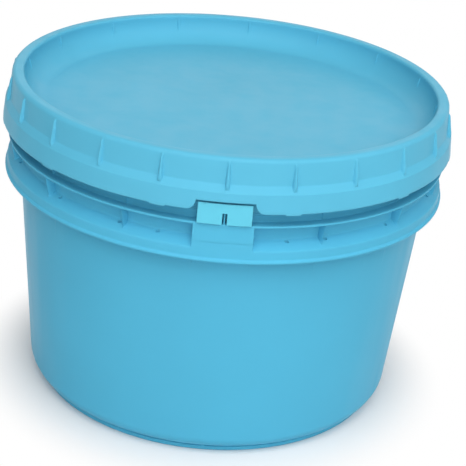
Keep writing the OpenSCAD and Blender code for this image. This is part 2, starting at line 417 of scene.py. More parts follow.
def new_mesh(name: str, spots: np.ndarray, face_groups: Sequence[np.ndarray]) -> bpy.types.Object:
    """Puts points and faces into a new smooth-shaded object.

    Args:
        name: Name of the object and its mesh.
        spots: Array of points, in metres.
        face_groups: Arrays of faces, each array with one number of corners.

    Returns:
        The object, at the origin.
    """
    mesh = bpy.data.meshes.new(name)
    sizes = np.concatenate([np.full(len(g), g.shape[1]) for g in face_groups])
    loops = np.concatenate([g.ravel() for g in face_groups]).astype(np.int32)
    mesh.vertices.add(len(spots))
    mesh.vertices.foreach_set("co", spots.astype(np.float32).ravel())
    mesh.loops.add(len(loops))
    mesh.loops.foreach_set("vertex_index", loops)
    mesh.polygons.add(len(sizes))
    starts = np.concatenate([[0], np.cumsum(sizes)[:-1]]).astype(np.int32)
    mesh.polygons.foreach_set("loop_start", starts)
    mesh.update(calc_edges=True)
    mesh.validate(clean_customdata=False)
    mesh.shade_smooth()
    mesh.set_sharp_from_angle(angle=SMOOTH_ANGLE)
    return link_object(name, mesh)


def curved_plate(name: str, across: np.ndarray, up: np.ndarray, radius: float, thick: float,
                 open_cells: np.ndarray | None = None) -> bpy.types.Object:
    """Makes a closed plate that follows a circle about the bucket's axis.

    The plate has an outer and an inner grid of points: x = r sin(s/R), y = -r cos(s/R), z, where s is
    the distance round the circle of radius R, and r is R outside and R less the thickness inside. Cells
    can be left open, and every free edge is closed by a strip between the two grids.

    Args:
        name: Name of the object.
        across: Distances round the circle, in millimetres, one a column.
        up: Heights, in millimetres, one a row.
        radius: Radius R of the outer face, in millimetres.
        thick: Thickness, in millimetres.
        open_cells: Array of rows by columns of cells, true where a cell is left open.

    Returns:
        The object.
    """
    rows, cols = len(up), len(across)
    s, z = np.meshgrid(across, up)
    shells = [np.stack([r * np.sin(s / radius), -r * np.cos(s / radius), z], axis=-1).reshape(-1, 3)
              for r in (radius, radius - thick)]
    solid = np.ones((rows - 1, cols - 1), bool) if open_cells is None else ~open_cells
    i, j = np.nonzero(solid)
    outer = np.stack([i * cols + j, i * cols + j + 1, (i + 1) * cols + j + 1, (i + 1) * cols + j], axis=1)
    edges = np.concatenate([outer[:, [k, (k + 1) % 4]] for k in range(4)])
    known = set(map(tuple, edges))
    free = np.array([e for e in known if (e[1], e[0]) not in known])
    shift = rows * cols
    strips = np.stack([free[:, 1], free[:, 0], free[:, 0] + shift, free[:, 1] + shift], axis=1)
    inner = outer[:, ::-1] + shift
    return new_mesh(name, np.concatenate(shells) * MM, [outer, inner, strips])


def add_bevel(obj: bpy.types.Object, width_mm: float, segments: int) -> None:
    """Rounds an object's sharp edges with a bevel.

    Args:
        obj: The object.
        width_mm: Width of the bevel, in millimetres.
        segments: Number of flats across it.
    """
    bevel = obj.modifiers.new("rounded_edges", "BEVEL")
    bevel.width = width_mm * MM
    bevel.segments = segments
    bevel.limit_method = "ANGLE"
    bevel.angle_limit = BEVEL_ANGLE
    bevel.harden_normals = False


# ---------------------------------------------------------------- finishes


def fill(tree: bpy.types.NodeTree, node: bpy.types.Node, values: dict[str | int, object]) -> None:
    """Sets a node's inputs, each on its own socket.

    Args:
        tree: Tree that the node is in.
        node: The node.
        values: Value of each input, or the socket that it is linked from.
    """
    for name, value in values.items():
        if isinstance(value, bpy.types.NodeSocket):
            tree.links.new(value, node.inputs[name])
        else:
            node.inputs[name].default_value = value


def add_node(tree: bpy.types.NodeTree, kind: str, values: dict[str | int, object],
             **settings: object) -> bpy.types.Node:
    """Adds a shader node.

    Args:
        tree: Tree that the node goes into.
        kind: The node's type, without its common prefix.
        values: Value of each input, or the socket that it is linked from.
        settings: The node's own settings.

    Returns:
        The node.
    """
    node = tree.nodes.new(f"ShaderNode{kind}")
    for name, value in settings.items():
        setattr(node, name, value)
    fill(tree, node, values)
    return node


@dataclass(frozen=True)
class MouldedPlastic:
    """Semi-gloss moulded plastic with clouded colour, fine grain and light scuffs.

    Attributes:
        name: Name of the material.
        colour: Linear colour.
        cloud: How far the colour drifts lighter and darker.
        roughness: Mean roughness.
        scuff: How far scuffs raise the roughness.
        glow: Share of light that scatters under the surface.
        sheen: Strength of the surface's reflections, 0.5 being plain plastic.
        cloud_scale: Scale of the colour's clouds, per metre.
        streak_scale: Scale of the scuffs along each axis, per metre.
        grain_scale: Scale of the fine grain, per metre.
        wave_scale: Scale of the surface's slow waves, per metre.
    """

    name: str
    colour: tuple[float, float, float]
    cloud: float = 0.06
    roughness: float = 0.36
    scuff: float = 0.16
    glow: float = 0.04
    sheen: float = 0.15
    cloud_scale: float = 9.0
    streak_scale: tuple[float, float, float] = (60.0, 60.0, 6.0)
    grain_scale: float = 900.0
    wave_scale: float = 26.0

    def build(self) -> bpy.types.Material:
        """Builds the material from Object coordinates.

        Returns:
            The material.
        """
        material = bpy.data.materials.new(self.name)
        material.use_nodes = True
        tree = material.node_tree
        place = add_node(tree, "TexCoord", {}).outputs["Object"]
        stretched = add_node(tree, "Mapping", {"Vector": place, "Scale": self.streak_scale})
        tint = add_node(tree, "Mix", {
            "A": (*[c * (1.0 - self.cloud) for c in self.colour], 1.0),
            "B": (*[min(1.0, c * (1.0 + self.cloud)) for c in self.colour], 1.0),
            "Factor": self.noise(tree, place, self.cloud_scale, detail=3.0),
        }, data_type="RGBA")
        rough = add_node(tree, "MapRange", {
            "Value": self.noise(tree, stretched.outputs["Vector"], scale=1.0, detail=4.0),
            "From Min": 0.35,
            "From Max": 0.75,
            "To Min": self.roughness - 0.25 * self.scuff,
            "To Max": self.roughness + 0.75 * self.scuff,
        })
        grain = self.noise(tree, place, self.grain_scale, detail=2.0)
        waves = self.noise(tree, place, self.wave_scale, detail=1.0)
        fine = add_node(tree, "Bump", {"Height": grain, "Strength": 0.05, "Distance": 0.00005})
        bump = add_node(tree, "Bump", {
            "Height": waves, "Strength": 0.12, "Distance": 0.0006, "Normal": fine.outputs["Normal"],
        })
        fill(tree, tree.nodes["Principled BSDF"], {
            "Base Color": tint.outputs["Result"],
            "Roughness": rough.outputs["Result"],
            "Normal": bump.outputs["Normal"],
            "IOR": 1.49,
            "Specular IOR Level": self.sheen,
            "Subsurface Weight": self.glow,
            "Subsurface Radius": (0.4, 1.0, 1.0),
            "Subsurface Scale": 0.003,
        })
        return material

    @staticmethod
    def noise(tree: bpy.types.NodeTree, place: bpy.types.NodeSocket, scale: float,
              detail: float) -> bpy.types.NodeSocket:
        """Returns a noise value at the place, with the given scale and detail."""
        node = add_node(tree, "TexNoise", {"Vector": place, "Scale": scale, "Detail": detail})
        return node.outputs["Fac"]


@dataclass(frozen=True)
class SealRubber:
    """Soft pale seal rubber with a dusty, even sheen.

    Attributes:
        name: Name of the material.
        colour: Linear colour.
        roughness: Roughness.
    """

    name: str
    colour: tuple[float, float, float]
    roughness: float = 0.62

    def build(self) -> bpy.types.Material:
        """Builds the material from Object coordinates."""
        return MouldedPlastic(self.name, self.colour, cloud=0.05, roughness=self.roughness, scuff=0.1,
                              glow=0.0).build()


# ---------------------------------------------------------------- the bucket


@dataclass(frozen=True)
class Fit:
    """Heights and radii that the tub and the lid share, in millimetres, read from the frame.

    Attributes:
        top: Top of the lid's rim.
        lid_r: Radius of the lid's lower edge.
        bead_r: Radius of the bead round the tub's rim.
        rim_top: Top of the tub's rim.
        collar_z: Lower edge of the collar.
        collar_lip_r: Outermost radius of the collar.
    """

    top: float
    lid_r: float
    bead_r: float
    rim_top: float
    collar_z: float
    collar_lip_r: float

    @classmethod
    def from_frame(cls) -> "Fit":
        """Reads the values from the boxes of the frame's nodes.

        Returns:
            The values, in millimetres.
        """
        lid, tub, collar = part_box("lid"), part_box("tub"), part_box("collar")
        return cls(top=lid[1].z / MM, lid_r=lid[1].x / MM, bead_r=tub[1].x / MM, rim_top=tub[1].z / MM,
                   collar_z=collar[0].z / MM, collar_lip_r=collar[1].x / MM)


@dataclass
class Tub:
    """The tub with its collar, as one smooth moulding. Sizes are in millimetres, angles in degrees.

    Attributes:
        fit: Shared heights and radii.
    """

    fit: Fit
    wall_t: float = 2.2
    taper: float = 4.5
    heel_r: float = 13.5
    floor_core_r: float = 70.0
    floor_lift: float = 4.0
    floor_t: float = 2.4
    foot_inset: float = 7.5
    foot_t: float = 2.6
    rim_drop: float = 32.4
    bead_out: float = 2.6
    bead_drop: float = 20.1
    bead_h: float = 3.0
    flange_drop: float = 50.9
    flange_t: float = 1.8
    flange_inset: float = 4.7
    ledge_drop: float = 71.0
    ledge_inset: float = 0.4
    ledge_rise: float = 6.0
    collar_t: float = 2.0
    collar_lip: float = 0.5
    lip_h: float = 3.0
    skirt_flare: float = 0.5
    rib_pitch: float = 24.8
    rib_t: float = 1.5
    rib_edge: float = 0.6
    rib_inset: float = 4.0
    rib_top_inset: float = 0.4
    neck_rib_h: float = 9.6
    neck_rib_out: float = 1.6
    neck_rib_fade: float = 1.2
    root_depth: float = 2.0
    drain_d: float = 3.3
    drain_inset: float = 7.2
    drain_first: float = 16.0
    drain_after: float = 1.5
    drain_before: float = 3.5
    hole_share: float = 0.85
    hole_margin: float = 0.55
    block_w: float = 45.0
    block_side: float = 0.5
    neck_ring_rise: float = 5.0
    neck_ring_out: float = 0.7
    web_t: float = 1.2
    web_h: float = 11.5
    bridges: int = 10

    def __post_init__(self) -> None:
        """Works out the heights and radii that follow from the sizes."""
        top = self.fit.top
        self.flange_z, self.ledge_z = top - self.flange_drop, top - self.ledge_drop
        self.rim_z, self.bead_z = top - self.rim_drop, top - self.bead_drop
        self.rim_r = self.fit.bead_r - self.bead_out
        self.rim_in = self.rim_r - self.wall_t
        self.flange_r = self.fit.lid_r - self.flange_inset
        self.ledge_r = self.flange_r - self.ledge_inset
        self.collar_r = self.fit.collar_lip_r - self.collar_lip
        self.rib_r = self.flange_r - self.rib_inset
        self.rib_top_r = self.flange_r - self.rib_top_inset
        self.drain_r = self.flange_r - self.drain_inset
        self.foot_r = self.wall_r(0.0) - self.foot_inset
        ribs = [k * self.rib_pitch for k in range(1, int(150.0 // self.rib_pitch) + 1)]
        self.rib_angles = self.both_ways(ribs) + [180.0]
        after = self.both_ways([rib + self.drain_after for rib in ribs])
        before = self.both_ways([rib - self.drain_before for rib in ribs[1:]])
        self.drain_angles = self.both_ways([self.drain_first]) + after + before
        half = self.drain_d / 2 * self.hole_share
        edge = half + self.hole_margin
        self.hole_offsets = np.array([-edge, -half, -half / 2, 0.0, half / 2, half, edge])
        self.block_edge = math.degrees(math.asin(self.block_w / 2 / self.flange_r))

    @staticmethod
    def both_ways(angles: Sequence[float]) -> list[float]:
        """Returns each angle to the left and to the right of the tab."""
        return [side * angle for angle in angles for side in (-1, 1)]

    def wall_r(self, z: float | np.ndarray) -> float | np.ndarray:
        """Returns the wall's outside radius at a height: the rim's, less the taper below the rim."""
        return self.rim_r - np.maximum(0.0, self.rim_z - z) * math.tan(math.radians(self.taper))

    def face_r(self, z: float | np.ndarray) -> float | np.ndarray:
        """Returns the radius at a height of the even face that the skirt and the tab's block share."""
        share = (self.flange_z - z) / (self.flange_z - self.fit.collar_z - self.lip_h)
        return self.flange_r + self.skirt_flare * share

    def ledge_stretch(self, start: tuple[float, float], end: tuple[float, float],
                      tag: str) -> list[Corner]:
        """Lists the corners of a drilled stretch, with rows where the drain holes' blocks lie.

        Args:
            start: Radius and height at the start of the stretch.
            end: Radius and height at its end.
            tag: Tag of the first row of the block that a hole takes.

        Returns:
            The corners between the two ends, without them.
        """
        a, b = np.array(start), np.array(end)
        along = unit(b - a)
        middle = a + along * (self.drain_r - a[0]) / along[0]
        spots = middle + self.hole_offsets[:, None] * along
        return [Corner(float(r), float(z), tag=tag if i == 1 else "") for i, (r, z) in enumerate(spots)]

    def outline(self) -> Outline:
        """Traces the moulding from under the floor, up the outside, over the rim and back to the floor.

        Returns:
            The outline, open at the axis.
        """
        t = math.radians(self.taper)
        heel_cz = self.floor_lift + self.heel_r
        heel_cx = self.wall_r(heel_cz - self.heel_r * math.sin(t)) - self.heel_r * math.cos(t)
        groove_r = self.foot_r - 0.8
        heel_end = math.degrees(math.acos((groove_r - heel_cx) / self.heel_r))
        groove_z = heel_cz - self.heel_r * math.sin(math.radians(heel_end))
        inner = self.heel_r - self.wall_t
        floor_top = self.floor_lift + self.floor_t
        in_cz = floor_top + inner
        in_cx = self.wall_r(in_cz - inner * math.sin(t)) - self.wall_t - inner * math.cos(t)
        foot_in = self.foot_r - self.foot_t
        ledge_in = float(self.wall_r(self.ledge_z + self.ledge_rise))
        slope = self.ledge_rise / (self.ledge_r - ledge_in)
        roof_z = self.ledge_z + self.ledge_rise - self.collar_t
        skirt_in = self.ledge_r - self.collar_t
        skirt_top = self.ledge_z - self.collar_t
        cz, lip_r = self.fit.collar_z, self.fit.collar_lip_r
        under = self.flange_z - self.flange_t
        neck_ring = self.flange_z + self.neck_ring_rise
        return trace([
            Corner(self.floor_core_r, self.floor_lift, rows=2),
            Corner(foot_in, self.floor_lift, 0.8),
            Corner(foot_in, 0.0, 0.7),
            Corner(self.foot_r, 0.0, 0.9, 4),
            Corner(self.foot_r, groove_z - 1.0, 0.5),
            Corner(groove_r - 0.7, groove_z - 0.6, 0.3, 2),
            *swept_arc((heel_cx, heel_cz), self.heel_r, -heel_end, -self.taper, 12),
            Corner(float(self.wall_r(60.0)), 60.0, rows=7),
            Corner(ledge_in, roof_z, 1.2, 3),
            *self.ledge_stretch((ledge_in, roof_z), (skirt_in, skirt_top), "roof_hole"),
            Corner(skirt_in, skirt_top, 1.5, 4, rows=3),
            Corner(self.collar_r - self.collar_t, cz, 0.5),
            Corner(lip_r, cz, 0.7, 4, tag="lip"),
            Corner(lip_r, cz + 1.7, 0.5),
            Corner(float(self.face_r(cz + self.lip_h)), cz + self.lip_h, 0.8, rows=3),
            Corner(float(self.face_r(self.ledge_z)), self.ledge_z, 1.5, 7, rows=2, tag="ledge_edge"),
            *self.ledge_stretch((self.ledge_r, self.ledge_z), (ledge_in, self.ledge_z + self.ledge_rise),
                                "ledge_hole"),
            Corner(ledge_in, self.ledge_z + slope * (self.ledge_r - ledge_in), 1.9, 4, rows=4),
            Corner(float(self.wall_r(under)), under, 0.9, 3, rows=3),
            Corner(self.flange_r, under, 0.6, 3),
            Corner(self.flange_r, self.flange_z, 0.7, 4, rows=3, tag="flange_top"),
            Corner(float(self.wall_r(self.flange_z)), self.flange_z, 0.9, 3, rows=2, tag="neck"),
            Corner(float(self.wall_r(neck_ring)), neck_ring, 0.4, 2),
            Corner(float(self.wall_r(neck_ring + 0.7)) + self.neck_ring_out, neck_ring + 0.7, 0.4, 2),
            Corner(float(self.wall_r(neck_ring + 1.8)) + self.neck_ring_out, neck_ring + 1.8, 0.4, 2),
            Corner(float(self.wall_r(neck_ring + 2.6)), neck_ring + 2.6, 0.4, 2, rows=4),
            Corner(self.rim_r, self.rim_z, rows=2, tag="rim"),
            Corner(self.rim_r, self.bead_z - self.bead_out, 0.4, 2),
            Corner(self.fit.bead_r, self.bead_z, 0.5, 2),
            Corner(self.fit.bead_r, self.bead_z + self.bead_h, 0.5, 2),
            Corner(self.rim_r, self.bead_z + self.bead_h + self.bead_out, 0.4, 2, rows=2),
            Corner(self.rim_r, self.fit.rim_top, 0.9, 4),
            Corner(self.rim_in, self.fit.rim_top, 0.9, 4, rows=2),
            Corner(self.rim_in, self.rim_z, rows=6),
            *swept_arc((in_cx, in_cz), inner, -self.taper, -90.0, 10),
            Corner(self.floor_core_r, floor_top),
        ])

    def shape(self, grid: TurnedGrid) -> None:
        """Raises the block, the ribs and the pocket's ribs out of the turned grid.

        A feature is a field of radii. It takes over from the plain radius where it is larger, through
        a soft maximum, so that it runs into the wall with a small fillet. In the pocket under the ledge
        the points are lowered, which fills the pocket where a rib or the block stands.

        Args:
            grid: The grid, changed in place.
        """
        angle, r, z = grid.angle, grid.radius.copy(), grid.height.copy()
        rib = within(arc_offset(angle, self.rib_angles, self.rib_r), self.rib_t / 2, self.rib_edge)
        block_half = math.radians(self.block_edge) * self.rib_r
        block = within(arc_offset(angle, [0.0], self.rib_r), block_half, self.block_side)
        rows, tagged = np.arange(len(r))[:, None], grid.outline.rows
        under, lean_rise = self.flange_z - self.flange_t, 2.0
        groove = (rows >= tagged["ledge_edge"]) & (rows < tagged["flange_top"]) & (z < under + 0.1)
        plain = float(self.wall_r(self.ledge_z)) - self.root_depth
        lean = np.clip((z - self.ledge_z - lean_rise) / (under - self.ledge_z - lean_rise), 0.0, 1.0)
        rib_field = plain + (self.rib_r + (self.rib_top_r - self.rib_r) * lean - plain) * rib
        r = np.where(groove, soft_max(rib_field, r, width=0.5), r)
        neck = (rows >= tagged["neck"]) & (rows < tagged["rim"])
        fade = ease((self.flange_z + self.neck_rib_h - z) / self.neck_rib_fade)
        neck_field = plain + (self.wall_r(z) + self.neck_rib_out - plain) * rib * fade
        r = np.where(neck, soft_max(neck_field, r, width=0.4), r)
        foot_z, crest_z = self.ledge_z - 2.0, self.flange_z - 0.55
        front = (rows >= tagged["lip"]) & (rows < tagged["neck"]) & (z > foot_z) & (z < crest_z)
        block_field = plain + (self.face_r(z) - plain) * block
        r = np.where(front, soft_max(block_field, r, width=0.08), r)
        before, after = self.pocket_rows(grid)
        pocket = (rows > before) & (rows < after)
        rib_floor, block_floor = self.fit.collar_z + 4.0, self.fit.collar_z + 0.5
        z = np.where(pocket, z + (np.minimum(z, rib_floor) - z) * rib, z)
        z = np.where(pocket, z + (np.minimum(z, block_floor) - z) * block, z)
        grid.radius, grid.height = r, z

    def pocket_rows(self, grid: TurnedGrid) -> tuple[int, int]:
        """Finds the rows on either side of the pocket under the collar.

        Args:
            grid: The grid.

        Returns:
            Last row of the wall below the pocket, and first row on the collar's lower edge past it.
        """
        height, roof = grid.outline.points[:, 1], grid.outline.rows["roof_hole"]
        before = np.nonzero(height[:roof] <= self.fit.collar_z)[0].max()
        after = np.nonzero(height[roof + 1:] <= self.fit.collar_z + 0.6)[0].min()
        return int(before), int(after) + roof + 1

    def build(self) -> list[bpy.types.Object]:
        """Builds the moulding, the foot's bridges and the web behind the tab.

        Returns:
            The objects, the moulding first.
        """
        rib_cols = [-1.9, -1.25, -0.95, -0.65, 0.0, 0.65, 0.95, 1.25, 1.9]
        edge = self.block_edge
        angles = columns(EVEN_COLUMNS, [
            around(self.drain_angles, self.hole_offsets, self.drain_r),
            around(self.rib_angles, rib_cols, self.rib_r),
            around([-edge, edge], [-0.9, -0.3, -0.1, 0.1, 0.3, 0.9], self.rib_r),
            around([0.0], [-4.0, 0.0, 4.0], self.rib_r),
        ])
        grid = TurnedGrid(self.outline(), angles)
        self.shape(grid)
        for angle in self.drain_angles:
            grid.drill(angle, "ledge_hole", "roof_hole", cells=4, hole_r=self.drain_d / 2,
                       centre_r=self.drain_r)
        moulding = new_mesh("tub_moulding", *grid.mesh_data())
        return [moulding, self.foot_bridges(), self.tab_web()]

    def foot_bridges(self) -> bpy.types.Object:
        """Makes the small bridges across the groove above the foot ring.

        Each bridge is a stack of four-cornered rings of its own width and reach, closed at both ends.

        Returns:
            The bridges as one object.
        """
        spots, faces = [], []
        base = np.array([[-1, -1], [1, -1], [1, 1], [-1, 1]], float)
        for k in range(self.bridges):
            turn = FULL_TURN * k / self.bridges
            rings = []
            for z, half_w, out in ((1.2, 0.9, 0.0), (1.6, 1.1, 0.25), (5.2, 1.1, 0.35), (6.4, 0.8, -0.2)):
                side = base[:, 0] * half_w
                r = np.where(base[:, 1] > 0, self.foot_r - 2.0, self.foot_r + out)
                rings.append(np.stack([r * math.sin(turn) + side * math.cos(turn),
                                       -r * math.cos(turn) + side * math.sin(turn), np.full(4, z)], axis=1))
            start = 16 * k
            spots.append(np.concatenate(rings))
            level = start + np.arange(3)[:, None] * 4 + np.arange(4)[None, :]
            nxt = start + np.arange(3)[:, None] * 4 + (np.arange(4)[None, :] + 1) % 4
            faces.append(np.stack([level, nxt, nxt + 4, level + 4], axis=-1).reshape(-1, 4))
            faces.append(np.array([[start + 3, start + 2, start + 1, start],
                                   [start + 12, start + 13, start + 14, start + 15]]))
        return new_mesh("foot_bridges", np.concatenate(spots) * MM, [np.concatenate(faces)])

    def tab_web(self) -> bpy.types.Object:
        """Makes the thin upright web that stands behind the tab's slot.

        Returns:
            The web.
        """
        back, front = float(self.wall_r(self.flange_z)) - 0.5, self.flange_r - 0.3
        low, high = self.flange_z - 0.5, self.flange_z + self.web_h
        side = self.web_t / 2
        xs, ys, zs = np.meshgrid([-side, side], [-front, -back], [low, high], indexing="ij")
        spots = np.stack([xs, ys, zs], axis=-1).reshape(-1, 3) * MM
        faces = np.array([[0, 1, 3, 2], [4, 6, 7, 5], [0, 4, 5, 1],
                          [2, 3, 7, 6], [0, 2, 6, 4], [1, 5, 7, 3]])
        web = new_mesh("tab_web", spots, [faces])
        add_bevel(web, 0.3, 3)
        return web


@dataclass
class Lid:
    """The press-on lid as one smooth moulding. Sizes are in millimetres, angles in degrees.

    Attributes:
        fit: Shared heights and radii.
    """

    fit: Fit
    lid_t: float = 2.0
    channel_w: float = 5.6
    panel_depth: float = 22.4
    panel_fillet: float = 19.0
    panel_core_r: float = 60.0
    panel_ring_r: float = 120.0
    rim_round: float = 3.0
    step_drop: float = 22.6
    step_out: float = 5.0
    band_flare: float = 1.5
    skirt_flare: float = 1.5
    skirt_drop: float = 39.9
    gussets: int = 23
    gusset_drop: float = 3.0
    gusset_out: float = 3.3
    gusset_top_out: float = 1.3
    gusset_top_half_w: float = 1.0
    gusset_root: float = 0.8
    gusset_round: float = 2.0
    lug_w: float = 11.5
    lug_side: float = 0.5
    lug_h: float = 1.0
    rim_marks: int = 16
    mark_phase: float = 17.5
    mark_w: float = 1.3
    mark_side: float = 0.6
    mark_out: float = 1.0
    mark_top: float = 3.8
    mark_foot: float = 12.2
    cutout_w: float = 43.6
    cutout_rise: float = 7.7
    cutout_r: float = 7.0

    def __post_init__(self) -> None:
        """Works out the heights and radii that follow from the sizes."""
        top, lid_r = self.fit.top, self.fit.lid_r
        self.panel_z, self.step_z = top - self.panel_depth, top - self.step_drop
        self.skirt_z = top - self.skirt_drop
        self.lower_r = lid_r - self.skirt_flare
        self.band_r = self.lower_r - self.step_out
        self.channel_out = self.band_r - self.lid_t
        self.plug_r = self.channel_out - self.channel_w
        self.plug_in = self.plug_r - self.lid_t
        self.panel_r = self.plug_in - self.panel_fillet
        self.gusset_top = top - self.gusset_drop
        pitch = 360.0 / self.gussets
        self.gusset_angles = [k * pitch for k in range(self.gussets)]
        lug_pairs = int(self.gussets / 4 - 0.5) + 1
        self.lug_angles = [s * (2 * k + 1) * pitch for k in range(lug_pairs) for s in (-1, 1)]
        self.mark_angles = [self.mark_phase + k * 360.0 / self.rim_marks for k in range(self.rim_marks)]

    def outline(self) -> Outline:
        """Traces the lid from under its panel, round channel and skirt, over the rim to the panel's top.

        Returns:
            The outline, open at the axis.
        """
        under = self.step_z - self.lid_t
        centre = (self.panel_r, self.panel_z + self.panel_fillet)
        return trace([
            Corner(self.panel_core_r, self.panel_z - self.lid_t, rows=3),
            *swept_arc(centre, self.panel_fillet + self.lid_t, -90.0, 0.0, 9),
            Corner(self.plug_r, self.fit.top - self.lid_t, 0.3, 2),
            Corner(self.channel_out, self.fit.top - self.lid_t, 0.3, 2, rows=3),
            Corner(self.channel_out, under, 0.5, 2),
            Corner(self.lower_r - self.lid_t, under, 1.0, 3, rows=5),
            Corner(self.fit.lid_r - self.lid_t, self.skirt_z, 0.7, 3, tag="edge"),
            Corner(self.fit.lid_r, self.skirt_z, 0.9, 4, rows=6),
            Corner(self.lower_r, self.step_z - 2.6, 1.3, 5, rows=3),
            Corner(self.band_r + self.band_flare, self.step_z + 3.2, 2.6, 8, rows=12),
            Corner(self.band_r, self.fit.top, self.rim_round + 0.5, 8),
            Corner(self.plug_in, self.fit.top, self.rim_round - 0.5, 7),
            *swept_arc(centre, self.panel_fillet, 0.0, -90.0, 18),
            Corner(self.panel_ring_r, self.panel_z),
            Corner(self.panel_core_r, self.panel_z),
        ])

    def lower_edge(self, angle: np.ndarray) -> np.ndarray:
        """Returns how far the skirt's lower edge is raised at each angle.

        It rises by the cut-out's height within the cut-out's half width. Beside it a quarter circle of
        the corner radius leads down to the plain edge. Each lug hangs below the edge.

        Args:
            angle: Angles in radians.

        Returns:
            Heights above the plain edge, in millimetres.
        """
        x = arc_offset(angle, [0.0], self.fit.lid_r)
        past = np.clip(self.cutout_w / 2 + self.cutout_r - x, 0.0, self.cutout_r)
        corner = self.cutout_rise - np.sqrt(np.maximum(self.cutout_r ** 2 - past ** 2, 0.0)) * (
            self.cutout_rise / self.cutout_r)
        rise = np.where(x <= self.cutout_w / 2, self.cutout_rise, np.where(past > 0, corner, 0.0))
        lug = within(arc_offset(angle, self.lug_angles, self.fit.lid_r), self.lug_w / 2, self.lug_side)
        return rise - self.lug_h * lug

    def shape(self, grid: TurnedGrid) -> None:
        """Raises the gussets and rim marks and cuts the skirt's lower edge.

        A gusset is a fin with a domed section, the square root of 1 less the squared share of its half
        width. Its width and its height both grow from the top to the step. It takes over from the plain
        radius through a soft maximum.

        Args:
            grid: The grid, changed in place.
        """
        angle, r, z = grid.angle, grid.radius.copy(), grid.height.copy()
        drop = np.clip((self.gusset_top - z) / (self.gusset_top - self.step_z), 0.0, 1.0)
        s = arc_offset(angle, self.gusset_angles, self.band_r)
        half_width = self.gusset_top_half_w * (1.0 + drop)
        dome = np.sqrt(np.maximum(0.0, 1.0 - (s / half_width) ** 2))
        start = np.sqrt(1.0 - (1.0 - np.clip((self.gusset_top - z) / self.gusset_round, 0.0, 1.0)) ** 2)
        reach = (self.gusset_top_out + (self.gusset_out - self.gusset_top_out) * drop) * start
        band = np.minimum(r, self.band_r + self.band_flare)
        fin = band - self.gusset_root + (reach + self.gusset_root) * dome
        rows = np.arange(len(r))[:, None]
        outer = rows > grid.outline.rows["edge"] + 6
        ribbed = outer & (z > self.step_z - 0.6) & (z < self.gusset_top) & (r > self.band_r - 1.0)
        r = np.where(ribbed, soft_max(fin, r, width=0.4), r)
        mark = within(arc_offset(angle, self.mark_angles, self.plug_in), self.mark_w / 2, self.mark_side)
        span = ease((self.fit.top - self.mark_top - z) / 1.2)
        span = span * ease((z - self.fit.top + self.mark_foot) / 1.5)
        inside = outer & (r < self.plug_in + 0.5) & (r > self.panel_r)
        r = np.where(inside, r - self.mark_out * mark * span, r)
        rise = self.lower_edge(angle)
        hold_z = self.step_z - 3.5
        hold = np.clip((hold_z - z) / (hold_z - self.skirt_z - 1.2), 0.0, 1.0)
        low = (r > self.band_r) & (z < hold_z)
        lean = self.skirt_flare / (self.step_z - self.skirt_z)
        z = np.where(low, z + rise * hold, z)
        r = np.where(low, r - lean * rise * hold, r)
        grid.radius, grid.height = r, z

    def build(self) -> bpy.types.Object:
        """Builds the lid.

        Returns:
            The object.
        """
        gusset_cols = [0.0, 0.45, 0.8, 1.15, 1.5, 1.85, 2.2, 2.6, 3.2]
        gusset_cols = sorted({s * v for v in gusset_cols for s in (-1, 1)})
        lug_cols = [s * (self.lug_w / 2 + d) for s in (-1, 1) for d in (-0.6, -0.25, 0.0, 0.25, 0.6)]
        half = math.degrees(self.cutout_w / 2 / self.fit.lid_r)
        sweep = np.radians([0.0, 7.0, 16.0, 27.0, 40.0, 55.0, 72.0, 90.0])
        flare = self.cutout_r * (1.0 - np.cos(sweep))
        angles = columns(EVEN_COLUMNS, [
            around(self.gusset_angles, gusset_cols, self.band_r),
            around(self.mark_angles, [-1.3, -0.9, -0.5, 0.0, 0.5, 0.9, 1.3], self.plug_in),
            around(self.lug_angles, lug_cols, self.fit.lid_r),
            around([half], [-0.06, *flare], self.fit.lid_r),
            around([-half], [0.06, *-flare], self.fit.lid_r),
        ])
        grid = TurnedGrid(self.outline(), angles)
        self.shape(grid)
        return new_mesh("lid_moulding", *grid.mesh_data())


@dataclass
class SealRing:
    """The flat seal in the lid's channel, read from its node's box. Its width is in millimetres."""

    width: float = 5.0

    def build(self) -> bpy.types.Object:
        """Builds the ring as a closed outline with rounded corners.

        Returns:
            The ring.
        """
        low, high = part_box("lid_seal")
        outer, base, top = high.x / MM, low.z / MM, high.z / MM
        inner = outer - self.width
        outline = trace([Corner(inner, base, 0.5, 3), Corner(outer, base, 0.5, 3),
                         Corner(outer, top, 0.3, 2), Corner(inner, top, 0.3, 2)])
        return new_mesh("seal_ring", *TurnedGrid(outline, columns(180, []), loop=True).mesh_data())


@dataclass
class TamperTab:
    """The slotted tamper tab. Sizes are in millimetres."""

    thick: float = 2.0
    slot_w: float = 3.4
    slot_h: float = 9.0
    edge: float = 0.55

    def build(self) -> bpy.types.Object:
        """Builds the tab within its node's box, as a curved plate with an open slot and rounded edges.

        Returns:
            The tab.
        """
        low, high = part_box("tamper_tab")
        radius = -low.y / MM
        reach = math.asin(high.x / MM / radius) * radius
        slot = self.slot_w / 2
        side = np.linspace(slot, reach, 7)
        across = np.concatenate([-side[::-1], side])
        base, top = low.z / MM, high.z / MM
        split = base + self.slot_h
        up = np.concatenate([np.linspace(base, split, 5), np.linspace(split, top, 5)[1:]])
        open_cells = np.zeros((len(up) - 1, len(across) - 1), bool)
        open_cells[:4, len(side) - 1] = True
        tab = curved_plate("tamper_tab_plate", across, up, radius, self.thick, open_cells)
        add_bevel(tab, self.edge, 3)
        return tab


# ---------------------------------------------------------------- studio and camera


